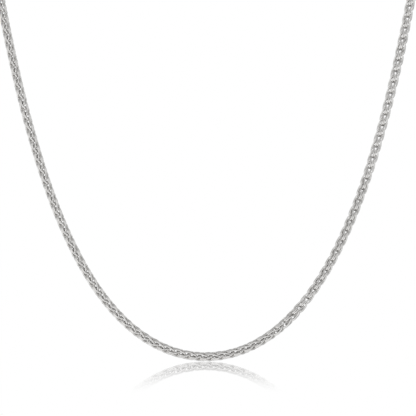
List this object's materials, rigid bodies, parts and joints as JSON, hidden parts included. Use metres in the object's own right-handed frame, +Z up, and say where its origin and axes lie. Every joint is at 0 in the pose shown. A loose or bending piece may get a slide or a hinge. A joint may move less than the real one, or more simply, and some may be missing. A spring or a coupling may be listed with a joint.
{
  "type": "foxtail chain necklace",
  "caption": "Silver foxtail chain worn as a closed loop from the nape, with a deep rounded front drop and a plain barrel clasp behind.",
  "frame": {"origin": "middle of the clasp, on the loop's centreline at the nape", "axes": "+Z up, -Y towards the wearer's front, +X to the right in a view from the front; the front drop hangs in a plane parallel to XZ"},
  "size_m": [0.1242, 0.1093, 0.1358],
  "materials": {
    "silver_chain": "polished silver wire links, darker in the hollows between them",
    "silver_clasp": "polished silver, lightly brushed round its axis"
  },
  "bodies": {
    "root": {"chain": "silver_chain", "clasp": "silver_clasp"}
  },
  "joints": []
}
